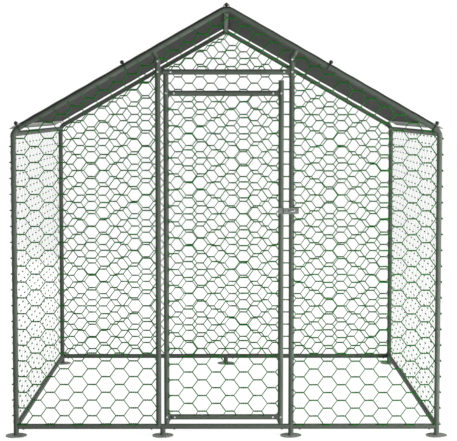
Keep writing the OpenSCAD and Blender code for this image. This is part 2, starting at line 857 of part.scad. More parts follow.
// Part of a convex outline on the left of a line from a to b
function left_of(p, a, b) = cross(b - a, p - a);
function crossing(p, q, a, b) = p + (q - p) * left_of(p, a, b) / (left_of(p, a, b) - left_of(q, a, b));
function kept_left(points, a, b) = [
    for (i = [0 : 1 : len(points) - 1])
        let (p = points[i], q = points[(i + 1) % len(points)])
            let (p_in = left_of(p, a, b) > 0, q_in = left_of(q, a, b) > 0)
                each concat(p_in ? [p] : [], p_in != q_in ? [crossing(p, q, a, b)] : [])];

// Part of a convex outline inside another, and the area of an outline
function clipped(points, outline, i = 0) = i == len(outline) ? points
    : clipped(kept_left(points, outline[i], outline[(i + 1) % len(outline)]), outline, i + 1);
function sum(list, i = 0) = i < len(list) ? list[i] + sum(list, i + 1) : 0;
function area(points) = sum([
    for (i = [0 : 1 : len(points) - 1]) cross(points[i], points[(i + 1) % len(points)]) / 2]);

function hexagon(centre) = [for (i = [0 : 5]) centre + hole_r * [cos(60 * i), sin(60 * i)]];

// Flat netting: an outline with a border, and hexagonal gaps inside it
module net_sheet(outer, inner, low, high) {
    column = cell_r * 3 / 2;
    columns = ceil((high[0] - low[0]) / column);
    rows = ceil((high[1] - low[1]) / net_cell);
    linear_extrude(height = net_t, center = true) difference() {
        polygon(outer);
        for (i = [0 : columns], j = [0 : rows]) {
            hole = clipped(hexagon(low + [i * column, (j + (i % 2) / 2) * net_cell]), inner);
            if (area(hole) > least_hole) polygon(hole);
        }
    }
}

function box_outline(low, high) = [low, [high[0], low[1]], high, [low[0], high[1]]];

module net_box(low, high) {
    border = [net_strand, net_strand];
    net_sheet(box_outline(low, high), box_outline(low + border, high - border), low, high);
}

// Outline under the rafters between two uprights, with a peak where it spans the ridge
function gable_outline(x0, x1, z0, drop) = concat(
    [[x0, z0], [x1, z0], [x1, rafter_z(x1) - drop]],
    x0 * x1 < 0 ? [[0, ridge_corner_z - drop]] : [],
    [[x0, rafter_z(x0) - drop]]);

module net_gable(x0, x1, z0) {
    drop = net_rafter_gap / cos(pitch);
    inner_drop = drop + net_strand / cos(pitch);
    top = x0 * x1 < 0 ? ridge_z : max(rafter_z(x0), rafter_z(x1));
    rotate([90, 0, 0]) net_sheet(
        gable_outline(x0, x1, z0, drop),
        gable_outline(x0 + net_strand, x1 - net_strand, z0 + net_strand, inner_drop),
        [x0, z0], [x1, top]);
}

net_base = bottom_rail_z + net_gap;

module net_front(x0, x1, z0) {
    color(net_colour) translate([0, -post_y, 0]) difference() {
        net_gable(x0, x1, z0);
        gable_bends(tube_r + net_bend_gap);
        for (x = [hinge_post_x, latch_post_x]) post_stub(x, stub_r + cope_gap);
        children();
    }
}

module net_front_left() net_front(-post_x + net_gap, hinge_post_x - net_gap, net_base);

module net_front_right() net_front(latch_post_x + net_gap, post_x - net_gap, net_base);

module net_front_gable() {
    net_front(hinge_post_x + net_gap, latch_post_x - net_gap, header_z + net_gap) {
        translate([hinge_post_x, 0, header_z]) tee_collar(fit_gap);
        translate([latch_post_x, 0, header_z]) mirror_x(true) tee_collar(fit_gap);
        translate([hinge_x, 0, header_z]) rod_z(0, tube_od + bolt_head_h, bolt_head_d / 2 + body_gap);
    }
}

module net_rear() {
    color(net_colour) translate([0, post_y, 0]) difference() {
        net_gable(-post_x + net_gap, post_x - net_gap, net_base);
        gable_bends(tube_r + net_bend_gap);
    }
}

module net_side(side) {
    color(net_colour) translate([side * net_side_x, 0, 0]) rotate([90, 0, 90])
        net_box([-post_y, bottom_rail_z], [post_y, eave_rail_z]);
}

module door_net() {
    color(net_colour) translate([0, -post_y, 0]) difference() {
        rotate([90, 0, 0]) net_box([hinge_x + net_gap, door_bottom_z + net_gap],
            [latch_stile_x - net_gap, door_top_z - net_gap]);
        for (z = [door_bottom_z, door_top_z]) {
            translate([hinge_x, 0, z]) tee_collar(fit_gap);
            translate([latch_stile_x, 0, z]) mirror_x(true) tee_collar(fit_gap);
        }
    }
}

// Door frame
module door_stile(x, z0, z1, toward) {
    color(tube_colour) translate([x, -post_y, 0]) difference() {
        tube_z(z0, z1);
        for (z = [door_bottom_z, door_top_z]) {
            translate([0, 0, z]) neck_hole(toward);
            translate([0, -tube_r, z]) rotate([90, 0, 0]) screw_hole(screw_r + screw_clear);
        }
    }
}

module door_stile_hinge() door_stile(hinge_x, hinge_stile_bottom, hinge_stile_top, 1);

module door_stile_latch() door_stile(latch_stile_x, post_base, latch_stile_top, -1);

module door_rail(z) {
    color(tube_colour) difference() {
        translate([0, -post_y, z]) tube_x(hinge_x + tee_l, latch_stile_x - tee_l);
        for (x = [hinge_x + tee_screw_x, latch_stile_x - tee_screw_x])
            at_front(x, z) screw_hole(screw_r + screw_clear);
    }
}

module door_tees() {
    color(tube_colour) for (z = [door_bottom_z, door_top_z]) {
        translate([hinge_x, -post_y, z]) tee(tee_plug_l, tee_screw_x);
        translate([latch_stile_x, -post_y, z]) mirror_x(true) tee(tee_plug_l, tee_screw_x);
    }
}

module door_screws() {
    places = [hinge_x, hinge_x + tee_screw_x, latch_stile_x - tee_screw_x, latch_stile_x];
    color(bright) for (z = [door_bottom_z, door_top_z], x = places) at_front(x, z) screw();
}

// Flanged bush at an end of the hinge stile, drawn with the flange's outer face at z = 0
module hinge_bush() {
    difference() {
        union() {
            rod_z(0, flange_t, tube_r);
            rod_z(flange_t, flange_t + bush_l, bore_r - pin_fit);
        }
        rod_z(-over, flange_t + bush_l + over, pivot_r + fit_gap);
    }
}

module hinge_bushes() {
    color(black) translate([hinge_x, -post_y, 0]) {
        translate([0, 0, hinge_stile_bottom - flange_t]) hinge_bush();
        translate([0, 0, hinge_stile_top + flange_t]) mirror([0, 0, 1]) hinge_bush();
    }
}

// Hasp: knuckle heights from the bottom, shared by the leaf, the flap and the pin
hasp_low = hasp_z - hasp_h / 2;
flap_knuckle_low = hasp_low + knuckle_h + body_gap / 2;
flap_knuckle_high = hasp_low + hasp_h - knuckle_h - body_gap / 2;

module at_hasp_pin() translate([pin_x, pin_y, 0]) children();

module leaf_knuckles(r, grow) {
    rod_z(hasp_low - grow, hasp_low + knuckle_h + grow, r);
    rod_z(hasp_low + hasp_h - knuckle_h - grow, hasp_low + hasp_h + grow, r);
}

module hasp_leaf() {
    color(bright) difference() {
        union() {
            translate([latch_stile_x - tube_r, front_y - fit_gap - hasp_t, hasp_low])
                cube([tube_r + hasp_pin_x, hasp_t, hasp_h]);
            at_hasp_pin() leaf_knuckles(knuckle_r - fit_gap, 0);
        }
        at_hasp_pin() {
            rod_z(hasp_low - over, hasp_low + hasp_h + over, hasp_pin_r + pin_fit);
            rod_z(hasp_low + knuckle_h, hasp_low + hasp_h - knuckle_h, knuckle_r + body_gap);
        }
    }
}

module hasp_pin() {
    color(bright) at_hasp_pin() rod_z(hasp_low, hasp_low + hasp_h, hasp_pin_r);
}

module hasp_slot() {
    half = slot_h / 2;
    translate([slot_x0 + half, 0, hasp_z]) rod_y(-tube_od, tube_od, half);
    translate([slot_x1 - half, 0, hasp_z]) rod_y(-tube_od, tube_od, half);
    translate([slot_x0 + half, -tube_od, hasp_z - half]) cube([slot_x1 - slot_x0 - slot_h, 2 * tube_od, slot_h]);
}

module hasp_flap() {
    color(bright) at_hasp_pin() difference() {
        union() {
            translate([0, knuckle_r - body_gap - hasp_t, hasp_low])
                cube([flap_l, hasp_t, hasp_h]);
            rod_z(flap_knuckle_low, flap_knuckle_high, knuckle_r - fit_gap);
        }
        rod_z(hasp_low, hasp_low + hasp_h, hasp_pin_r + fit_gap);
        leaf_knuckles(knuckle_r + body_gap, body_gap / 2);
        hasp_slot();
    }
}

corner_post(-1, -1);  // post_front_left
corner_post(1, -1);  // post_front_right
corner_post(-1, 1);  // post_rear_left
corner_post(1, 1);  // post_rear_right
ridge_bow(true);  // ridge_bow_front
ridge_bow(false);  // ridge_bow_rear
ridge_beam();
eave_rail(-1);  // eave_rail_left
eave_rail(1);  // eave_rail_right
bottom_rail_front_left();
door_sill();
bottom_rail_front_right();
bottom_rail_y(-1);  // bottom_rail_left
bottom_rail_y(1);  // bottom_rail_right
bottom_rail_rear_left();
bottom_rail_rear_right();
corner_foot(-1, -1);  // foot_front_left
corner_foot(1, -1);  // foot_front_right
corner_foot(-1, 1);  // foot_rear_left
corner_foot(1, 1);  // foot_rear_right
foot_hinge_side();
foot_latch_side();
foot_rear_middle();
door_post_hinge();
door_post_latch();
header();
header_tees();
header_screws();
post_top_screws();
frame_screws();
pivot_pin_lower();
pivot_bolt_upper();
staple();
roof_cover();
elastic_loops();
elastic_balls();
net_front_left();
net_front_right();
net_front_gable();
net_side(-1);  // net_left
net_side(1);  // net_right
net_rear();
door_stile_hinge();
door_stile_latch();
door_rail(door_top_z);  // door_rail_top
door_rail(door_bottom_z);  // door_rail_bottom
door_tees();
door_screws();
hinge_bushes();
door_net();
hasp_leaf();
hasp_pin();
hasp_flap();
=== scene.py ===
# %% [markdown]
# A walk-in chicken run stands on its own feet: a frame of bent steel tube, green hexagonal netting
# on every side, a door on pivots with a hasp, and a fabric cover that balls on elastic loops hold down.
# The rigid pieces could be drawn again here, but then two models could drift apart. So they come from the
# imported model, which is loaded first and never moved, and this script adds what solids can't show well:
# true netting, cloth, elastic, screw heads, welds and finishes.

import json
import math

import bmesh
import bpy
import numpy
from mathutils import Matrix, Vector


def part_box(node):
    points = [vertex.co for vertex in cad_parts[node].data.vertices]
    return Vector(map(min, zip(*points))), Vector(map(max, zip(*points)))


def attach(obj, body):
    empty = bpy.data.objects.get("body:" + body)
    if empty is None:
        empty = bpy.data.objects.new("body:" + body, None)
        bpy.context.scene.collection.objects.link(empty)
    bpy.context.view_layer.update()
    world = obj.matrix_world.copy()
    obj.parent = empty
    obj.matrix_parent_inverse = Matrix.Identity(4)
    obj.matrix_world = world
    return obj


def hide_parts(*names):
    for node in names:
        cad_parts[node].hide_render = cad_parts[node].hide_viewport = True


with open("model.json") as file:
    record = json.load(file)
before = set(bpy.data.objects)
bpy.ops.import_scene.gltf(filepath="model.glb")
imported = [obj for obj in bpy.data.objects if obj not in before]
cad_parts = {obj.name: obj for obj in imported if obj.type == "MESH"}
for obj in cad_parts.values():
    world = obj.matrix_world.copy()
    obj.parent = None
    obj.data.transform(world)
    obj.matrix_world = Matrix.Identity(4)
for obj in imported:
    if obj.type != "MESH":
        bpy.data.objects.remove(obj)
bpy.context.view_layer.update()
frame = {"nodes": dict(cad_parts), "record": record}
nodes = frame["nodes"]

# %% [markdown]
# Every new piece hangs on the frame's own lines, the centre lines of its tubes. They could be typed in, but
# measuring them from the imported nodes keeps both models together: a straight tube's box has the tube's axis
# in its middle. The roof's rise along the centre lines and the radius of the bends are the two lengths that
# no box gives, so they are written here.

# %% Lines of the frame
X, Y, Z = 0, 1, 2
roof_rise = 0.565
bend_radius = 0.045


def middle(node, axis):
    """Middle of a node's box along one axis."""
    low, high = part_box(node)
    return (low[axis] + high[axis]) / 2


ridge_z = middle("ridge_beam", Z)
tube_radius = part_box("ridge_beam")[1][Z] - ridge_z
post_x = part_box("post_front_right")[1][X] - tube_radius
post_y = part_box("post_rear_right")[1][Y] - tube_radius
eave_z = middle("eave_rail_right", Z)
bottom_z = middle("door_sill", Z)
header_z = middle("header", Z)
door_top_z = middle("door_rail_top", Z)
door_bottom_z = middle("door_rail_bottom", Z)
hinge_post_x = middle("door_post_hinge", X)
latch_post_x = middle("door_post_latch", X)
hinge_stile_x = middle("door_stile_hinge", X)
latch_stile_x = middle("door_stile_latch", X)
pitch = math.atan2(roof_rise, post_x)
ridge_corner_z = ridge_z + bend_radius * (1 / math.cos(pitch) - 1)
print("tube radius", tube_radius, "roof pitch", math.degrees(pitch))

# %% [markdown]
# The photograph was taken from in front of the door, a little above the middle, with a long lens. The
# camera could be set by eye, but lining up the frame's corners with the picture gives its place and lens,
# and then the shapes land where they are in the photograph. The lens is given for the picture's own width.

# %% Camera
camera_place = (-0.01363, -7.76176, 1.52375)
looking_down = 0.07501
turned_right = 0.0034


def in_scene(name, data):
    """A new object that shows in the scene."""
    made = bpy.data.objects.new(name, data)
    bpy.context.scene.collection.objects.link(made)
    return made


camera_data = bpy.data.cameras.new("camera")
camera_data.sensor_fit = "HORIZONTAL"
camera_data.sensor_width = 36
camera_data.lens = 115.09
camera = in_scene("camera", camera_data)
camera.location = camera_place
camera.rotation_euler = (math.pi / 2 - looking_down, 0, -turned_right)
bpy.context.scene.camera = camera
bpy.context.scene.view_settings.view_transform = "Standard"
print("lens", camera_data.lens)

# %% [markdown]
# A finish is a node tree, and long chains of Math nodes are hard to read. One small class wraps a
# socket, so that ordinary sums on it add the Math nodes, and its node method adds any other node.
# A finish then reads like a formula.

# %% Sums on sockets
# Places of the two colours, and of the result, among a Mix node's sockets
mix_first, mix_second, mix_result = 6, 7, 2


class Socket:
    """An output of a finish's node tree that plain sums can be done on."""

    def __init__(self, tree, output):
        self.tree = tree
        self.output = output

    def node(self, kind, settings=None, values=None, output=0):
        """Adds a node: its settings first, then the values or links of its sockets."""
        added = self.tree.nodes.new(kind)
        for name, setting in (settings or {}).items():
            setattr(added, name, setting)
        for name, value in (values or {}).items():
            if isinstance(value, Socket):
                self.tree.links.new(value.output, added.inputs[name])
            else:
                added.inputs[name].default_value = value
        return Socket(self.tree, added.outputs[output])

    def maths(self, operation, *values):
        """A Math node on some values."""
        return self.node("ShaderNodeMath", {"operation": operation}, dict(enumerate(values)))

    def __add__(self, other):
        return self.maths("ADD", self, other)

    def __sub__(self, other):
        return self.maths("SUBTRACT", self, other)

    def __rsub__(self, other):
        return self.maths("SUBTRACT", other, self)

    def __mul__(self, other):
        return self.maths("MULTIPLY", self, other)

    __radd__ = __add__
    __rmul__ = __mul__

    def between(self, low, high):
        """0 below low, 1 above high, and smooth from one to the other."""
        return self.node("ShaderNodeMapRange", {"interpolation_type": "SMOOTHSTEP"},
                         {"Value": self, "From Min": low, "From Max": high})

    def mixed(self, first, second):
        """The first colour where this is 0, and the second where it is 1."""
        values = {"Factor": self, mix_first: first, mix_second: second}
        return self.node("ShaderNodeMix", {"data_type": "RGBA"}, values, mix_result)

    def noise(self, per_metre, detail=2.0, roughness=0.5):
        """A noise over this place, from 0 to 1, with so many lumps in a metre."""
        values = {"Vector": self, "Scale": per_metre, "Detail": detail, "Roughness": roughness}
        return self.node("ShaderNodeTexNoise", None, values)

    def axes(self):
        """The three numbers of this place."""
        return [self.node("ShaderNodeSeparateXYZ", None, {"Vector": self}, axis) for axis in (X, Y, Z)]


print("sums ready on", Socket.__name__)

# %% [markdown]
# Every finish starts alike: a Principled shader, constants on its sockets, and the place of each point to
# draw patterns on. A second class sets that up once, so a finish holds only what is its own. Colours are
# written as they look, and turned into the units that a shader mixes in.

# %% Finishes in the making
channel_full = 255
straight_end = 0.04045
straight_slope = 12.92
curve_lift = 0.055
curve_power = 2.4


class Finish:
    """A material in the making, with its shader and the place of each point."""

    def __init__(self, name, **constants):
        self.material = bpy.data.materials.new(name)
        self.material.use_nodes = True
        tree = self.material.node_tree
        self.shader = tree.nodes["Principled BSDF"]
        coordinates = tree.nodes.new("ShaderNodeTexCoord")
        self.place = Socket(tree, coordinates.outputs["Object"])
        self.along = Socket(tree, coordinates.outputs["UV"])
        for socket, value in constants.items():
            self.shader.inputs[socket.replace("_", " ")].default_value = value

    def feed(self, name, socket):
        """Links a socket of the tree to an input of the shader."""
        self.place.tree.links.new(socket.output, self.shader.inputs[name])

    def roughen(self, pattern, least, spread):
        """Roughness from least, where the pattern is 0, to more by spread where it is 1."""
        self.feed("Roughness", least + pattern * spread)

    def bump(self, height, depth, strength):
        """Raises the surface by depth, in metres, where height is 1."""
        values = {"Height": height, "Distance": depth, "Strength": strength}
        self.feed("Normal", self.place.node("ShaderNodeBump", None, values))


def linear(shown):
    """One channel as a shader mixes it, from how it looks."""
    if shown <= straight_end:
        return shown / straight_slope
    return ((shown + curve_lift) / (1 + curve_lift)) ** curve_power


def colour(red, green, blue):
    """A colour as it looks, each channel from 0 to 255."""
    return (*[linear(channel / channel_full) for channel in (red, green, blue)], 1)


black = colour(0, 0, 0)
white = colour(channel_full, channel_full, channel_full)
print("from", black, "to", white)

# %% [markdown]
# The run was photographed on white. More light could make the floor white, but it would bleach the run too.
# So the floor is a wide pale disc that keeps the run's shadow, and a glow that only the camera and
# reflections see takes it up to white.

# %% Floor
floor_reach = 60.0
floor_drop = 0.0004
floor_corners = 64
floor_glow = 0.85


def drawn_piece(name, shape, finish):
    """A new object from a bmesh that is done, with its material."""
    mesh = bpy.data.meshes.new(name)
    shape.to_mesh(mesh)
    shape.free()
    mesh.materials.append(finish)
    return in_scene(name, mesh)


def seen_ray(tree):
    """1 where a ray comes from the camera, a reflection or a clear pane, and 0 for plain light."""
    rays = tree.nodes.new("ShaderNodeLightPath")
    kinds = ("Is Camera Ray", "Is Glossy Ray", "Is Transmission Ray")
    straight, mirrored, through = [Socket(tree, rays.outputs[kind]) for kind in kinds]
    return straight.maths("MAXIMUM", straight, mirrored.maths("MAXIMUM", mirrored, through))


floor_finish = Finish("pale_floor", Roughness=0.9, Specular_IOR_Level=0.0, Emission_Strength=floor_glow)
mottle = floor_finish.place.noise(per_metre=3.0)
floor_finish.feed("Base Color", mottle.mixed(colour(214, 214, 213), colour(222, 222, 221)))
floor_finish.feed("Emission Color", seen_ray(floor_finish.place.tree).mixed(black, white))
disc = bmesh.new()
bmesh.ops.create_circle(disc, cap_ends=True, segments=floor_corners, radius=floor_reach)
bmesh.ops.translate(disc, verts=disc.verts, vec=(0, 0, -floor_drop))
floor = drawn_piece("floor", disc, floor_finish.material)
print("floor reaches", floor_reach, "m")

# %% [markdown]
# A sky that lit the run from everywhere would flatten its tubes. A black one would show behind the run. So
# the sky shows white to the camera and in reflections, and lights the run with a fifth of that.

# %% Sky
sky_light = 0.2
world = bpy.data.worlds.new("sky")
bpy.context.scene.world = world
world.use_nodes = True
sky = world.node_tree.nodes["Background"]
sky.inputs["Color"].default_value = white
sky_strength = sky_light + seen_ray(world.node_tree) * (1 - sky_light)
world.node_tree.links.new(sky_strength.output, sky.inputs["Strength"])
print("sky light", sky_light)

# %% [markdown]
# One lamp overhead would be simplest, but it would light the tops of the tubes. In the photograph upright
# tubes are brightest along their right side, so a large soft lamp stands low on the right and in front. A
# weaker one on the left opens the shadows. Level tubes are dark on top and paler below, so a third lamp lies
# near the ground before the door. A fourth behind the run lights the insides of the rear tubes.

# %% Lamps
run_middle = (0, 0, 0.9)
gable_foot = (0, -0.9, 1.6)
lamps = {
    "key_lamp": {"place": (6.5, -4.0, 0.8), "target": run_middle, "width": 3.0, "height": 1.4, "power": 360},
    "fill_lamp": {"place": (-6.0, -5.0, 0.8), "target": run_middle, "width": 3.5, "height": 1.4, "power": 40},
    "low_lamp": {"place": (1.5, -2.6, 0.12), "target": gable_foot, "width": 4.0, "height": 0.6, "power": 60},
    "rear_lamp": {"place": (-5.5, 5.0, 1.2), "target": run_middle, "width": 3.5, "height": 2.0, "power": 160}}


def soft_lamp(name, place, target, width, height, power):
    """A soft lamp that faces a target."""
    data = bpy.data.lights.new(name, "AREA")
    data.shape = "RECTANGLE"
    data.size = width
    data.size_y = height
    data.energy = power
    lamp = in_scene(name, data)
    lamp.location = place
    shine = Vector(target) - Vector(place)
    lamp.rotation_euler = shine.to_track_quat("-Z", "Y").to_euler()


for lamp_name, lamp_facts in lamps.items():
    soft_lamp(lamp_name, **lamp_facts)
print("lamps", len(bpy.data.lights))

# %% [markdown]
# The tubes have a satin grey-green paint, sprayed on and baked. Such a coat has a fine orange peel, a faint
# cloudiness in its tone, and scuffed, duller patches. A flat colour would look like plastic, so noise at
# three sizes gives these: about 1 mm for the peel, some centimetres for the gloss and some decimetres for the
# tone. The plates of the feet face up and catch more light, so below their top the colour changes to a
# lighter pair of tones: painted light, not a colour of their own.

# %% Tube paint
foot_t = 0.004
plate_light_fade = 0.001
peel_depth = 0.00012
cloud_share = 0.7
tube_tones = (colour(86, 94, 85), colour(101, 110, 100))
# Painted light: paler tones for the feet's plates, which face up and catch more light
lit_plate_tones = (colour(172, 175, 171), colour(194, 196, 192))


def tube_paint(name, dark, light, plate=None):
    """Satin paint between two tones, and on a foot's plate between two paler ones that are painted light."""
    paint = Finish(name, Specular_IOR_Level=0.05)
    clouds = paint.place.noise(per_metre=4.5, detail=4.0, roughness=0.6)
    flecks = paint.place.noise(per_metre=900.0, detail=1.0)
    tone = clouds * cloud_share + flecks * (1 - cloud_share)
    blend = tone.between(low=0.3, high=0.7)
    shade = blend.mixed(dark, light)
    # Painted light: below the top of a foot's plate the colour turns to the paler pair
    if plate:
        over_plate = paint.place.axes()[Z].between(foot_t, foot_t + plate_light_fade)
        shade = over_plate.mixed(blend.mixed(*plate), shade)
    paint.feed("Base Color", shade)
    scuffs = paint.place.noise(per_metre=38.0, detail=5.0, roughness=0.65)
    paint.roughen(scuffs, least=0.36, spread=0.2)
    peel = paint.place.noise(per_metre=1100.0, detail=2.0)
    paint.bump(peel, peel_depth, strength=0.5)
    return paint.material


tube_finish = tube_paint("painted_tube", *tube_tones)
foot_finish = tube_paint("painted_foot", *tube_tones, lit_plate_tones)
print("paints", tube_finish.name, foot_finish.name)

# %% [markdown]
# Screws, staple and pivots are zinc plated steel: bright, slightly bluish, with fine rolling marks and small
# dull spots. The marks could be cut into the mesh, but they are far too fine. So noise stretched along them
# makes the marks, and coarser noise makes the plating uneven.

# %% Zinc plating
mark_stretch = (60.0, 60.0, 1400.0)
mark_depth = 0.00003
zinc = Finish("zinc_plate", Metallic=0.9, Specular_IOR_Level=0.5)
stretched = zinc.place.node("ShaderNodeMapping", None, {"Vector": zinc.place, "Scale": mark_stretch})
marks = stretched.noise(per_metre=1.0, detail=3.0)
spots = zinc.place.noise(per_metre=260.0, detail=3.0)
zinc_tones = (colour(176, 181, 184), colour(214, 217, 218))
zinc.feed("Base Color", spots.between(low=0.35, high=0.7).mixed(*zinc_tones))
zinc_rough, mark_rough, spot_rough = 0.28, 0.14, 0.1
zinc.feed("Roughness", zinc_rough + marks * mark_rough + spots * spot_rough)
zinc.bump(marks, mark_depth, strength=0.5)
print("zinc", zinc.material.name)

# %% [markdown]
# The hasp and the screws under the frame's joints have an older, dull plating: grey and blotchy, with hardly
# any shine. The zinc finish with other colours would still glitter, so this one is less metallic, and one
# noise drives its tone, gloss and surface together.

# %% Dull plating
blotch_depth = 0.00005
dull = Finish("dull_plate", Metallic=0.4, Specular_IOR_Level=0.4)
blotches = dull.place.noise(per_metre=90.0, detail=4.0, roughness=0.65)
dull_tones = (colour(92, 96, 92), colour(128, 132, 127))
dull.feed("Base Color", blotches.between(low=0.3, high=0.7).mixed(*dull_tones))
dull.roughen(blotches, least=0.45, spread=0.2)
dull.bump(blotches, blotch_depth, strength=0.5)
print("dull plate", dull.material.name)

# %% [markdown]
# The netting is galvanised wire in a thin green plastic coat. One green would make the wires look printed,
# so noise takes the coat from darker to paler every few centimetres, and a finer noise gives it a grain.

# %% Coated wire
grain_depth = 0.00006
coat = Finish("green_coated_wire", Specular_IOR_Level=0.05)
greens = coat.place.noise(per_metre=55.0, detail=3.0)
grain = coat.place.noise(per_metre=2600.0, detail=1.0)
coat_tones = (colour(12, 96, 20), colour(20, 127, 31))
coat.feed("Base Color", greens.between(low=0.3, high=0.7).mixed(*coat_tones))
coat.roughen(grain, least=0.45, spread=0.16)
coat.bump(grain, grain_depth, strength=0.5)
print("wire coat", coat.material.name)

# %% [markdown]
# Netting is made of wires that run from side to side. Each wire zigzags up and down, and where it meets the
# next one the two are twisted round each other twice before they part again, which leaves hexagons. A flat
# pattern with holes would look like cut sheet, so each wire here is a curve with the true path, and the
# twists are real turns.

# %% Path of one wire
column_pitch = 0.065
row_pitch = 0.0743
twist_l = 0.041
twist_turns = 2
points_per_turn = 6
leg_radius = 0.0024
twist_radius = 0.0021


def wire_path(row, side, phase, columns, radii):
    """The endless zigzag of one wire: each point's place across, up and out, and the wire's radius."""
    leg, twist = radii
    points = []
    steps = twist_turns * points_per_turn
    for column in columns:
        odd = column % 2
        legs = -side if odd else side
        across = phase[0] + column * column_pitch - twist_l / 2
        up = phase[1] + row * row_pitch + (side * row_pitch / 2 if odd else 0)
        for step in range(steps + 1):
            share = step / steps
            angle = 2 * math.pi * twist_turns * share
            points.append((across + twist_l * share,
                           up + legs * twist * math.cos(angle),
                           legs * twist * math.sin(angle),
                           twist if 0 < step < steps else leg))
    return points


print("cells", column_pitch, "by", row_pitch, "m")

# %% [markdown]
# At the tubes the netting is bent round the metal: past a tube's inner side a wire goes in front of it or
# behind it. The wires could simply end at the tubes, but then the netting would seem to float between them.
# So each side of a panel knows where its tube is, how high a wire rises there, and where it is cut.

# %% Edges of a panel
wrap_radius = tube_radius + 2 * twist_radius
edge_wrap_share = 0.45
edge_wrap = edge_wrap_share * wrap_radius
stick_out = 0.002
full_wrap = 2 * wrap_radius + stick_out


class Edge:
    """A side of a panel: the inner side of its tube, the way out, and how far the wires go round the tube.

    The face is 1 where they go in front of the tube, -1 where they go behind it and 0 where they stay flat.
    """

    def __init__(self, start, outward, reach, face=1):
        self.start = Vector(start)
        self.outward = Vector(outward).normalized()
        self.reach = reach
        self.face = face

    def past(self, point):
        """How far a point lies past the tube's inner side."""
        return (Vector(point[:2]) - self.start).dot(self.outward)

    def rise(self, point):
        """Height of a wire over the panel where it goes round the tube."""
        over = self.past(point) - wrap_radius
        if abs(over) >= wrap_radius:
            return 0.0
        return self.face * math.sqrt(wrap_radius ** 2 - over ** 2)


def excess(point, edges):
    """How far a point lies past where the wires are cut."""
    return max(edge.past(point) - edge.reach for edge in edges)


print("wraps", edge_wrap, full_wrap)

# %% [markdown]
# A panel starts as endless wires and is then cut to its outline, as netting is cut from a roll. A leg that
# crosses a tube gets extra points first, because two points alone would run straight through the metal.

# %% Wires of a panel
leg_steps = 8
near_tube = 4 * wrap_radius
long_leg = row_pitch / 4


def part_way(first, second, share):
    """A point that lies a share of the way from one point to another."""
    return tuple(a + (b - a) * share for a, b in zip(first, second))


def finer(points, edges):
    """The path with extra points where it crosses a tube."""
    out = [points[0]]
    for first, second in zip(points, points[1:]):
        length = math.dist(first[:3], second[:3])
        near = max(excess(first, edges), excess(second, edges)) > -near_tube
        steps = leg_steps if near and length > long_leg else 1
        for step in range(1, steps + 1):
            out.append(part_way(first, second, step / steps))
    return out


def cut_path(points, edges):
    """The stretches of a path that lie on the panel."""
    runs = []
    run = []
    last, last_excess = None, None
    for point in points:
        now = excess(point, edges)
        if last is not None and (now > 0) != (last_excess > 0):
            run.append(part_way(last, point, last_excess / (last_excess - now)))
            if now > 0:
                runs.append(run)
                run = []
        if now <= 0:
            run.append(point)
        last, last_excess = point, now
    runs.append(run)
    return [run for run in runs if len(run) > 1]


def lifted(point, edges):
    """A point of a wire, lifted over the tube that it crosses."""
    across, up, out, radius = point
    return across, up, out + max([edge.rise(point) for edge in edges], key=abs), radius


def spanned(low, high, start, step):
    """Numbers of the steps that cover the stretch from low to high, with one to spare at both ends."""
    return range(math.floor((low - start) / step) - 1, math.ceil((high - start) / step) + 2)


def panel_paths(low, high, phase, edges, radii):
    """All the wires of a panel whose corners lie between low and high."""
    columns = spanned(low[0], high[0], phase[0], column_pitch)
    rows = spanned(low[1], high[1], phase[1], row_pitch)
    paths = []
    for row in rows:
        for side in (1, -1):
            endless = finer(wire_path(row, side, phase, columns, radii), edges)
            for run in cut_path(endless, edges):
                paths.append([lifted(point, edges) for point in run])
    return paths


print("a crossing leg has", leg_steps, "steps")

# %% [markdown]
# A round section could be swept along each path by hand, but a curve object does that by itself: it takes
# the paths as poly splines, with a radius at each point. It is turned into a mesh at once, so that the piece
# is plain geometry that every viewer can show.

# %% From paths to wire
# A depth of 1 leaves each point's own radius as the wire's
own_radii = 1.0


def into_mesh(curve_data, name):
    """A mesh object from a curve."""
    maker = in_scene(name + "_curve", curve_data)
    bpy.context.view_layer.update()
    drawn = maker.evaluated_get(bpy.context.evaluated_depsgraph_get())
    mesh = bpy.data.meshes.new_from_object(drawn)
    bpy.data.objects.remove(maker)
    bpy.data.curves.remove(curve_data)
    mesh.name = name
    return in_scene(name, mesh)


def bent_wire(name, paths, radius, finish, sides=0, closed=False):
    """Round wire along each path."""
    data = bpy.data.curves.new(name, "CURVE")
    data.dimensions = "3D"
    data.bevel_depth = radius
    data.bevel_resolution = sides
    data.use_fill_caps = True
    for path in paths:
        spline = data.splines.new("POLY")
        spline.points.add(len(path) - 1)
        spline.use_cyclic_u = closed
        for point, place in zip(spline.points, path):
            point.co = (*place[:3], 1)
            point.radius = place[3] if len(place) > 3 else 1
    piece = into_mesh(data, name)
    piece.data.materials.clear()
    piece.data.materials.append(finish)
    for face in piece.data.polygons:
        face.use_smooth = True
    return piece


def netting(name, node, body, low, high, phase, edges, placed, radii=(leg_radius, twist_radius)):
    """A panel of netting in place of a node. The phase is the middle of one of its twists."""
    paths = panel_paths(low, high, phase, edges, radii)
    wires = [[(*(placed @ Vector(point[:3])), point[3]) for point in path] for path in paths]
    piece = bent_wire(name, wires, own_radii, coat.material)
    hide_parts(node)
    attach(piece, body)
    print(name, len(paths), "wires,", len(piece.data.polygons), "faces")


def facing(origin, across, up, out):
    """Places a panel drawn across, up and out into the run."""
    turned = Matrix((across, up, out)).transposed().to_4x4()
    return Matrix.Translation(origin) @ turned


print("wire radius", leg_radius)

# %% [markdown]
# The front netting fills the bays at both sides of the doorway and the gable over the header. It passes
# behind the corner posts, with its cut ends just showing past them, and is cut where it meets the fronts of
# the door posts, rails and rafters. The rows of the real bays don't line up, as they would in one sheet, so
# each bay is a panel with a phase of its own.

# %% Front netting
slope_out = (math.sin(pitch), math.cos(pitch))
bay_phases = {"left": (-0.9557, 0.1327), "right": (0.4088, 0.0934)}
gable_phase = (-0.1756, 1.7639)


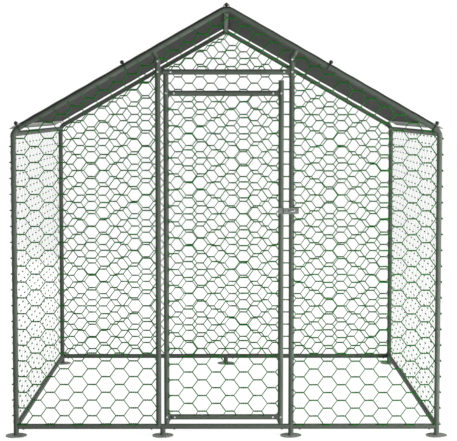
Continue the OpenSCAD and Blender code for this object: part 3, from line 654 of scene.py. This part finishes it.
def upright(x, outward, reach, face=1):
    """Edge along an upright tube at x."""
    return Edge((x - outward * wrap_radius, 0), (outward, 0), reach, face)


def level(z, outward, reach):
    """Edge along a level tube at z."""
    return Edge((0, z - outward * wrap_radius), (0, outward), reach)


def rafter(side, reach):
    """Edge along the rafter of one side."""
    outward = Vector((side * slope_out[0], slope_out[1]))
    return Edge(Vector((0, ridge_corner_z)) - outward * wrap_radius, outward, reach)


front = facing((0, -post_y, 0), (1, 0, 0), (0, 0, 1), (0, -1, 0))
for side, word, door_post_x in ((-1, "left", hinge_post_x), (1, "right", latch_post_x)):
    bay_edges = [
        upright(side * post_x, side, full_wrap, face=-1), upright(door_post_x, -side, edge_wrap),
        level(bottom_z, -1, edge_wrap), rafter(side, edge_wrap)]
    start_x, end_x = sorted((side * post_x, door_post_x))
    netting("netting_front_" + word, "net_front_" + word, "frame", (start_x, bottom_z), (end_x, header_z),
            bay_phases[word], bay_edges, front)
gable_edges = [
    upright(hinge_post_x, -1, edge_wrap), upright(latch_post_x, 1, edge_wrap),
    level(header_z, -1, edge_wrap), rafter(-1, edge_wrap), rafter(1, edge_wrap)]
netting("netting_front_gable", "net_front_gable", "frame", (hinge_post_x, header_z),
        (latch_post_x, ridge_z), gable_phase, gable_edges, front)

# %% [markdown]
# The door carries its own netting, cut at the fronts of its stiles and rails. It rides on the door and not on
# the frame, so it swings with the door.

# %% Door netting
door_phase = (-0.2443, 0.1169)
door_edges = [
    upright(hinge_stile_x, -1, edge_wrap), upright(latch_stile_x, 1, edge_wrap),
    level(door_bottom_z, -1, edge_wrap), level(door_top_z, 1, edge_wrap)]
netting("netting_door", "door_net", "door", (hinge_stile_x, door_bottom_z), (latch_stile_x, door_top_z),
        door_phase, door_edges, front)

# %% [markdown]
# The rear is one panel from side to side and up to the ridge, bent round the outside of the tubes. The front
# wire would fade at that distance, where the photograph still shows it, so the wire is a little thicker here.

# %% Rear netting
rear_radii = (0.0028, 0.0025)
rear_phase = (0.155, 1.7247)
rear = facing((0, post_y, 0), (-1, 0, 0), (0, 0, 1), (0, 1, 0))
rear_edges = [
    upright(-post_x, -1, full_wrap), upright(post_x, 1, full_wrap),
    level(bottom_z, -1, edge_wrap), rafter(-1, edge_wrap), rafter(1, edge_wrap)]
netting("netting_rear", "net_rear", "frame", (-post_x, bottom_z), (post_x, ridge_z),
        rear_phase, rear_edges, rear, rear_radii)

# %% [markdown]
# The side panels lie flat against the outside of the tubes. The photograph looks along them, and of their
# wires hardly more than the twists can be made out, so the single wires have their true 1 mm here.

# %% Side netting
side_radii = (0.0005, 0.0015)
side_x = post_x + tube_radius + side_radii[1]
side_phases = {"left": (0.8744, 0.1415), "right": (-0.8714, 0.1352)}
flat_edges = [
    Edge((-post_y, 0), (-1, 0), reach=0, face=0),
    Edge((post_y, 0), (1, 0), reach=0, face=0),
    Edge((0, bottom_z - tube_radius), (0, -1), reach=0, face=0),
    Edge((0, eave_z), (0, 1), reach=0, face=0)]
for side, word in ((-1, "left"), (1, "right")):
    beside = facing((side * side_x, 0, 0), (0, side, 0), (0, 0, 1), (side, 0, 0))
    netting("netting_" + word, "net_" + word, "frame", (-post_y, bottom_z), (post_y, eave_z),
            side_phases[word], flat_edges, beside, side_radii)

# %% [markdown]
# The cover is woven plastic tape with a coat on both sides, cut as one rectangle and pulled over the ridge.
# Its weave is a couple of millimetres wide, so there are far too many crossings to model. Two crossed waves
# stand for them. They are drawn in the cloth's own coordinates, which are metres across and along, so the
# weave follows the cloth over the ridge.

# %% Cover cloth
tape_w = 0.0022
weave_depth = 0.0002
cloth_cloud_share = 0.75
weave_share = 0.12
tone_start = 0.1


def cover_cloth(name, dark, light):
    """Coated woven cloth between two tones."""
    cloth = Finish(name, Specular_IOR_Level=0.05)
    across, along, _ = cloth.along.axes()
    warp = across.maths("SINE", across * (2 * math.pi / tape_w))
    weft = along.maths("SINE", along * (2 * math.pi / tape_w))
    weave = warp * weft
    clouds = cloth.place.noise(per_metre=6.0, detail=4.0, roughness=0.6)
    tone = clouds * cloth_cloud_share + weave * weave_share + tone_start
    cloth.feed("Base Color", tone.between(low=0.2, high=0.75).mixed(dark, light))
    cloth.roughen(clouds, least=0.52, spread=0.2)
    cloth.bump(weave, weave_depth, strength=0.6)
    return cloth.material


cover_finish = cover_cloth("cover_cloth", colour(46, 47, 44), colour(66, 68, 63))
# Painted light: the eave tape's pale tones stand in for light from below on the cover's edge
lit_eave_finish = cover_cloth("cover_hem", colour(190, 190, 187), colour(210, 210, 207))
print("cloth", cover_finish.name, lit_eave_finish.name)

# %% [markdown]
# The sheet lies on the front bow and the ridge beam, curves over the ridge and falls straight to the eaves.
# It is flush at the front and stops a hand's length short of the rear, so a strip of daylight shows over the
# rear rafters. A simulation could drape it, but a cover that is pulled tight keeps to a profile that can be
# written down: an arc, then a slope. Between its ends the cloth gives a little under its own weight, and
# small folds run in from its pulled edges.

# %% Lines of the cover
cover_low, cover_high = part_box("roof_cover")
cover_lift = 0.002
cover_clear = 0.001
cover_pitch = pitch - math.atan(cover_lift * math.cos(pitch) / post_x)
cover_r = bend_radius + tube_radius + cover_clear
ridge_arc = cover_r * cover_pitch
half_width = (cover_high[X] - cover_low[X]) / 2
slope_l = (half_width - cover_r * math.sin(cover_pitch)) / math.cos(cover_pitch)
half_cut = ridge_arc + slope_l
half_y = (cover_high[Y] - cover_low[Y]) / 2
cover_y = (cover_high[Y] + cover_low[Y]) / 2
sag = 0.005
fold_depth = 0.0012
fold_pitch = 0.11
fold_reach = 0.10
fold_start_share = 0.25


def fold_height(distance, along, slope_share):
    """Height of the small folds near the front and rear edges."""
    edge = math.exp(-(half_y - abs(along)) / fold_reach)
    wave = (1 + math.sin(2 * math.pi * distance / fold_pitch)) / 2
    return fold_depth * edge * wave * min(slope_share / fold_start_share, 1)


def cover_place(across, along, lift):
    """Where a point of the flat cloth goes, lifted off the cover's underside."""
    side = math.copysign(1, across)
    distance = abs(across)
    down = max(0, distance - ridge_arc)
    slope_share = down / slope_l
    give = sag * math.sin(math.pi * min(slope_share, 1)) * (1 - (along / half_y) ** 2)
    radius = cover_r + lift - give + fold_height(distance, along, slope_share)
    angle = min(distance, ridge_arc) / cover_r
    x = radius * math.sin(angle) + down * math.cos(cover_pitch)
    z = radius * math.cos(angle) - down * math.sin(cover_pitch)
    return Vector((side * x, cover_y + along, ridge_z - bend_radius + z))


print("slope", round(slope_l, 3), "m, arc", round(ridge_arc, 3), "m")

# %% [markdown]
# The cloth starts as a flat grid, cut to size. Its corners keep their flat places as coordinates for the
# weave, then go to their places on the roof, and the sheet gets its thickness last. A doubled strip at the
# front and the rear makes the hem, and the eaves are bound on both faces with tape, whose pale colour is
# painted light from below.

# %% Cover sheet
cover_t = 0.0012
hem_w = 0.050
hem_t = 0.0007
half_inner = half_cut - hem_w
across_steps = 120
along_steps = 80
hem_steps = 3
grid_half = 0.5


def cloth_strip(name, across, along, steps, lift, thickness, finish):
    """A rectangle of the flat cloth, laid on the roof with its own thickness."""
    shape = bmesh.new()
    bmesh.ops.create_grid(shape, x_segments=steps[0], y_segments=steps[1], size=grid_half, calc_uvs=True)
    for corner in shape.verts:
        u = across[0] + (corner.co.x + grid_half) * (across[1] - across[0])
        v = along[0] + (corner.co.y + grid_half) * (along[1] - along[0])
        corner.co = (u, v, 0)
    chart = shape.loops.layers.uv.verify()
    for face in shape.faces:
        face.smooth = True
        for loop in face.loops:
            loop[chart].uv = loop.vert.co.xy
    for corner in shape.verts:
        corner.co = cover_place(corner.co.x, corner.co.y, lift)
    bmesh.ops.recalc_face_normals(shape, faces=shape.faces)
    if sum(face.normal.z for face in shape.faces) < 0:
        bmesh.ops.reverse_faces(shape, faces=shape.faces)
    bmesh.ops.solidify(shape, geom=shape.faces, thickness=-thickness)
    piece = drawn_piece(name, shape, finish)
    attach(piece, "frame")
    return piece


whole_width = (-half_cut, half_cut)
inner_width = (-half_inner, half_inner)
whole_length = (-half_y, half_y)
cover = cloth_strip("cover_sheet", whole_width, whole_length, (across_steps, along_steps), 0, cover_t,
                    cover_finish)
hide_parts("roof_cover")
for end, word in ((-1, "front"), (1, "rear")):
    strip = sorted((end * half_y, end * (half_y - hem_w)))
    cloth_strip("cover_hem_" + word, inner_width, strip, (across_steps, hem_steps), -hem_t,
                            hem_t, cover_finish)
# The eave tapes take the pale tones, which are painted light from below
for side, word in ((-1, "left"), (1, "right")):
    strip = sorted((side * half_cut, side * half_inner))
    for lift, face in ((-hem_t, "under"), (cover_t, "top")):
        cloth_strip(f"cover_tape_{word}_{face}", strip, whole_length, (hem_steps, along_steps),
                                lift, hem_t, lit_eave_finish)
print("cover cut to", round(2 * half_cut, 3), "by", round(2 * half_y, 3), "m")

# %% [markdown]
# The hem is sewn down with one row of stitches. A bump in the cloth could hint at them, but a stitch is a
# short stretch of thick thread that lies on the cloth, so each one is a little bent wire on top of the cover.

# %% Stitches
stitch_l = 0.006
stitch_pitch = 0.009
stitch_shares = (0, 0.5, 1)
thread_radius = 0.0005
thread_lifts = (0, thread_radius / 2, 0)
seam_in = 0.006
stitch_in = hem_w - seam_in
thread = Finish("sewing_thread", Specular_IOR_Level=0.2)
fibres = thread.place.noise(per_metre=3000.0, detail=2.0)
thread.feed("Base Color", fibres.mixed(colour(40, 46, 40), colour(70, 78, 69)))
thread.roughen(fibres, least=0.7, spread=0.2)


def stitch_row(start, end):
    """Stitches along a straight line of the flat cloth."""
    start, end = Vector(start), Vector(end)
    count = int((end - start).length / stitch_pitch)
    way = (end - start).normalized()
    rows = []
    for number in range(count):
        places = [start + way * (number * stitch_pitch + share * stitch_l) for share in stitch_shares]
        rows.append([cover_place(place.x, place.y, cover_t + hem_t + lift)
                     for place, lift in zip(places, thread_lifts)])
    return rows


row_x = half_cut - stitch_in
row_y = half_y - stitch_in
sewn = []
for end in (-1, 1):
    sewn += stitch_row((-row_x, end * row_y), (row_x, end * row_y))
    sewn += stitch_row((end * row_x, -row_y), (end * row_x, row_y))
stitches = bent_wire("cover_stitches", sewn, thread_radius, thread.material)
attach(stitches, "frame")
2 * half_cut
print("stitches", len(sewn))

# %% [markdown]
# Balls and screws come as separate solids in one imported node, which has their places already. A walk along
# the edges from any corner reaches all the corners of its solid. The node's mesh is loose triangles, so the
# walk is on a copy whose doubles are merged.

# %% Places of loose solids
merge_gap = 0.00001


def solids_of(node):
    """The separate solids in a node, each as an array of its corners."""
    shape = bmesh.new()
    shape.from_mesh(nodes[node].data)
    bmesh.ops.remove_doubles(shape, verts=shape.verts, dist=merge_gap)
    shape.verts.index_update()
    reached = set()
    found = []
    for start in shape.verts:
        if start.index in reached:
            continue
        reached.add(start.index)
        group = []
        todo = [start]
        while todo:
            corner = todo.pop()
            group.append(tuple(corner.co))
            for edge in corner.link_edges:
                other = edge.other_vert(corner)
                if other.index not in reached:
                    reached.add(other.index)
                    todo.append(other)
        found.append(numpy.array(group))
    shape.free()
    return found


ball_places = []
for points in solids_of("elastic_balls"):
    ball_places.append(Vector((points.min(axis=0) + points.max(axis=0)) / 2))
print("balls", len(ball_places))

# %% [markdown]
# Moulded black plastic is never quite black: it has a fine matt grain, with shinier rubbed spots. A flat
# black would look like a hole in the picture, so two noises vary its tone, its gloss and its surface.

# %% Black plastic
mould_depth = 0.00005
plastic = Finish("moulded_black", Specular_IOR_Level=0.45)
texture = plastic.place.noise(per_metre=1500.0, detail=2.0)
rubbed = plastic.place.noise(per_metre=120.0, detail=3.0)
plastic_tones = (colour(9, 9, 10), colour(20, 20, 21))
plastic.feed("Base Color", rubbed.between(low=0.3, high=0.7).mixed(*plastic_tones))
matt, rub_shine = 0.55, 0.25
plastic.feed("Roughness", matt - rubbed * rub_shine)
plastic.bump(texture, mould_depth, strength=0.6)
print("plastic", plastic.material.name)

# %% [markdown]
# Balls and screws are round about an axis, and there are many of each. A lathe gives such a shape from half
# of its section, and so does Blender's spin. One is drawn, and one object takes a copy of it at each place.

# %% Round shapes and their copies
seam_gap = 0.000001


def spun(points, axis, steps):
    """A round shape: a profile spun about an axis, with its seam merged."""
    shape = bmesh.new()
    corners = [shape.verts.new(point) for point in points]
    edges = [shape.edges.new(pair) for pair in zip(corners, corners[1:])]
    bmesh.ops.spin(shape, geom=corners + edges, cent=(0, 0, 0), axis=axis, angle=2 * math.pi, steps=steps,
                   use_merge=True)
    bmesh.ops.remove_doubles(shape, verts=shape.verts, dist=seam_gap)
    bmesh.ops.recalc_face_normals(shape, faces=shape.faces)
    return shape


def copies(name, shape, places, finish):
    """One object with a copy of a shape at each place."""
    drawn = bpy.data.meshes.new(name + "_one")
    for face in shape.faces:
        face.smooth = True
    shape.to_mesh(drawn)
    shape.free()
    whole = bmesh.new()
    for place in places:
        first = len(whole.verts)
        whole.from_mesh(drawn)
        whole.verts.ensure_lookup_table()
        bmesh.ops.transform(whole, matrix=place, verts=whole.verts[first:])
    bpy.data.meshes.remove(drawn)
    return drawn_piece(name, whole, finish)


print("seams merge within", seam_gap, "m")

# %% [markdown]
# A loop of elastic goes round a tube: the ridge beam for the two balls on top, a rafter for the others. It
# lies square to the tube, so the tube's line and the ball's place settle its plane, and no angle is typed in.

# %% Lines of a loop


def held_tube(place):
    """A point on the centre line of the tube that a ball's loop goes round, and the way the tube runs."""
    if abs(place.x) < tube_radius:
        return Vector((0, 0, ridge_z)), Vector((0, 1, 0))
    side = math.copysign(1, place.x)
    rafter_y = math.copysign(post_y, place.y)
    return Vector((0, rafter_y, ridge_corner_z)), Vector((side * math.cos(pitch), 0, -math.sin(pitch)))


def loop_lines(place):
    """Where a loop's plane cuts its tube's centre line, the way to the ball and the way through it."""
    start, way = held_tube(place)
    centre = start + way * (place - start).dot(way)
    outward = (place - centre).normalized()
    return centre, outward, outward.cross(way)


print("first loop at", loop_lines(ball_places[0])[0])

# %% [markdown]
# Black balls on the loops hold the cover. Each ball is a moulding with a hole through it, a rounded rim at
# both ends of the hole and a faint parting ridge round its middle. A plain sphere would have none of these,
# so half of a section with all three is spun about the hole, and turned to lie along its loop.

# %% Balls
ball_radius = 0.0093
hole_radius = 0.0022
rim_radius = 0.0007
ridge_height = 0.0002
profile_steps = 12
around_steps = 20
hole_way = Vector((0, 1, 0))


def ball_profile():
    """Half a section of a ball: bore, rim, round, parting ridge, round, rim, and the bore again."""
    rim_angle = math.asin((hole_radius + rim_radius) / ball_radius)
    points = []
    for step in range(profile_steps + 1):
        angle = rim_angle + (math.pi - 2 * rim_angle) * step / profile_steps
        radius = ball_radius + (ridge_height if step == profile_steps // 2 else 0)
        points.append((radius * math.sin(angle), -radius * math.cos(angle), 0))
    bore_end = points[-1][1] - rim_radius
    bore_start = (hole_radius, -bore_end, 0)
    return [bore_start, *points, (hole_radius, bore_end, 0), bore_start]


ball = spun(ball_profile(), hole_way, around_steps)
ball_matrices = []
for place in ball_places:
    turn = hole_way.rotation_difference(loop_lines(place)[2])
    ball_matrices.append(Matrix.Translation(place) @ turn.to_matrix().to_4x4())
balls = copies("ball_toggles", ball, ball_matrices, plastic.material)
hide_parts("elastic_balls")
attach(balls, "frame")
print("ball faces", len(balls.data.polygons))

# %% [markdown]
# The elastic is a rubber core in a braided sleeve of dark thread. The strands are under 2 mm wide, too fine
# to model, so two crossed waves stand for the braid.

# %% Braided elastic
braid_pitch = 0.0016
braid_depth = 0.0002
elastic = Finish("braided_elastic", Specular_IOR_Level=0.1)
x, y, z = elastic.place.axes()
one_way = x.maths("SINE", (x + y + z) * (2 * math.pi / braid_pitch))
other_way = x.maths("SINE", (x - y - z) * (2 * math.pi / braid_pitch))
braid = one_way * other_way
elastic_tones = (colour(44, 46, 44), colour(66, 68, 65))
elastic.feed("Base Color", braid.between(low=-0.6, high=0.8).mixed(*elastic_tones))
elastic.roughen(braid, least=0.75, spread=0.1)
elastic.bump(braid, braid_depth, strength=0.7)
print("elastic", elastic.material.name)

# %% [markdown]
# Each ball is threaded on a ring of elastic that goes down through the cover, round the tube and back. The
# rear rings reach forward from the rear rafters to the cover's edge. A free cord could be left to hang, but
# these are stretched tight, so a ring is an arc round the tube, two straight runs and a bend at each end of
# the ball's hole.

# %% Elastic rings
elastic_radius = 0.002
loop_clear = 0.00005
loop_radius = tube_radius + elastic_radius + loop_clear
corner_share = 1.2
corner_radius = corner_share * elastic_radius
arc_steps = 20
corner_steps = 6
ring_sides = 2


def loop_path(height):
    """The ring of elastic in its own plane: round the tube, tight up to the ball and through it."""
    bend_out = ball_radius + corner_radius
    bend_up = height - corner_radius
    tangent = math.atan2(bend_up, bend_out) - math.acos(loop_radius / math.hypot(bend_up, bend_out))
    sweep = math.pi + 2 * tangent
    path = []
    for step in range(arc_steps + 1):
        angle = tangent - sweep * step / arc_steps
        path.append((loop_radius * math.cos(angle), loop_radius * math.sin(angle)))
    corner = []
    for step in range(corner_steps + 1):
        turn = math.pi / 2 * step / corner_steps
        corner.append((ball_radius + corner_radius * math.cos(turn),
                       bend_up + corner_radius * math.sin(turn)))
    return path + [(-out, up) for out, up in corner] + corner[::-1]


loops = []
for place in ball_places:
    centre, outward, across = loop_lines(place)
    loops.append([centre + across * a + outward * h for a, h in loop_path((place - centre).length)])
cords = bent_wire("elastic_rings", loops, elastic_radius, elastic.material, sides=ring_sides, closed=True)
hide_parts("elastic_loops")
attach(cords, "frame")
print("elastic rings", len(loops))

# %% [markdown]
# The frame is held by pan head screws with a crossed recess. A boolean could cut the cross, but it leaves
# ragged faces. So the head is spun from half a section, which leaves a round opening on top. A cross of
# twelve corners is set into it, the gap between is bridged, and the cross is pushed in.

# %% Screw shape
head_radius = 0.0045
head_h = 0.0026
side_share = 0.45
shoulder_radius_share = 0.9
shoulder_h_share = 0.8
shank_radius = 0.0023
shank_l = 0.011
opening_radius = 0.0030
arm_l = 0.0023
arm_half = 0.00055
recess_depth = 0.0014
recess_taper = 0.00025
screw_steps = 24
arms = 4


def screw_shape():
    """One screw with its seat at the origin and its head up."""
    section = [
        (0, 0, -shank_l),
        (shank_radius, 0, -shank_l + shank_radius / 2),
        (shank_radius, 0, 0),
        (head_radius, 0, 0),
        (head_radius, 0, head_h * side_share),
        (head_radius * shoulder_radius_share, 0, head_h * shoulder_h_share),
        (opening_radius, 0, head_h)]
    shape = spun(section, (0, 0, 1), screw_steps)
    rim = [edge for edge in shape.edges if edge.is_boundary]
    cross = []
    for arm in range(arms):
        turn = Matrix.Rotation(arm * 2 * math.pi / arms, 3, "Z")
        for corner in ((arm_l, -arm_half), (arm_l, arm_half), (arm_half, arm_half)):
            cross.append(turn @ Vector((*corner, head_h)))
    corners = [shape.verts.new(place) for place in cross]
    inner = [shape.edges.new(pair) for pair in zip(corners, corners[1:] + corners[:1])]
    bmesh.ops.bridge_loops(shape, edges=rim + inner)
    recess = shape.faces.new(corners)
    bmesh.ops.recalc_face_normals(shape, faces=shape.faces)
    bmesh.ops.inset_individual(shape, faces=[recess], thickness=recess_taper, depth=-recess_depth)
    return shape


print("screw head", 2 * head_radius, "m across")

# %% [markdown]
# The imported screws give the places, so that no screw has to be measured by hand. A screw's corners spread
# most along its axis, and its tip is further from their middle than its head is.

# %% Screws in place


def screw_matrix(points):
    """Seat and direction of a packed screw."""
    centre = points.mean(axis=0)
    spread, ways = numpy.linalg.eigh(numpy.cov((points - centre).T))
    axis = ways[:, spread.argmax()]
    along = (points - centre) @ axis
    if along.max() > -along.min():
        axis, along = -axis, -along
    seat = Vector(centre + axis * along.max()) - Vector(axis) * head_h
    turn = Vector((0, 0, 1)).rotation_difference(Vector(axis))
    return Matrix.Translation(seat) @ turn.to_matrix().to_4x4()


for node, body, finish in (("header_screws", "frame", zinc), ("post_top_screws", "frame", zinc),
                           ("frame_screws", "frame", dull), ("door_screws", "door", zinc)):
    places = [screw_matrix(points) for points in solids_of(node)]
    screws = copies("pan_head_" + node, screw_shape(), places, finish.material)
    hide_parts(node)
    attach(screws, body)
    print(node, len(places), "screws")

# %% [markdown]
# Each foot is a round plate welded to a short tube. The weld is a rippled bead in the corner between them. A
# plain ring would look turned, so this one is a wire whose ring goes in and out a little at every drop.

# %% Weld beads
bead_radius = 0.0024
bead_out_share = 0.25
bead_out = bead_out_share * bead_radius
drops = 18
steps_per_drop = 4
ripple = 0.0004
bead_sides = 2


def bead_path(x, y):
    """A rippled ring round a foot's tube."""
    count = drops * steps_per_drop
    path = []
    for step in range(count):
        angle = 2 * math.pi * step / count
        radius = tube_radius + bead_out + ripple * math.sin(drops * angle)
        path.append((x + radius * math.cos(angle), y + radius * math.sin(angle), foot_t + bead_out))
    return path


feet = [(side * post_x, end * post_y) for side in (-1, 1) for end in (-1, 1)]
feet += [(middle("foot_hinge_side", X), -post_y), (latch_post_x, -post_y), (0, post_y)]
bead_paths = [bead_path(*place) for place in feet]
beads = bent_wire("foot_welds", bead_paths, bead_radius, foot_finish, sides=bead_sides, closed=True)
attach(beads, "frame")
print("welds", len(feet))

# %% [markdown]
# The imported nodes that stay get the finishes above. Each could be named one by one, but the record already
# gives every node a slot, so a finish goes to a slot. Only the feet and the hasp have finishes of their own.

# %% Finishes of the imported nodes
finish_of_slot = {
    "painted_tube": tube_finish,
    "zinc_steel": zinc.material,
    "black_plastic": plastic.material}
dressed = 0
for row in frame["record"]["subparts"]:
    finish = finish_of_slot.get(row["material_slot"])
    if finish is None:
        continue
    if row["node"].startswith("foot_"):
        finish = foot_finish
    if row["node"] in ("hasp_leaf", "hasp_flap"):
        finish = dull.material
    for slot in nodes[row["node"]].material_slots:
        slot.material = finish
    dressed += 1
print("finished nodes", dressed)
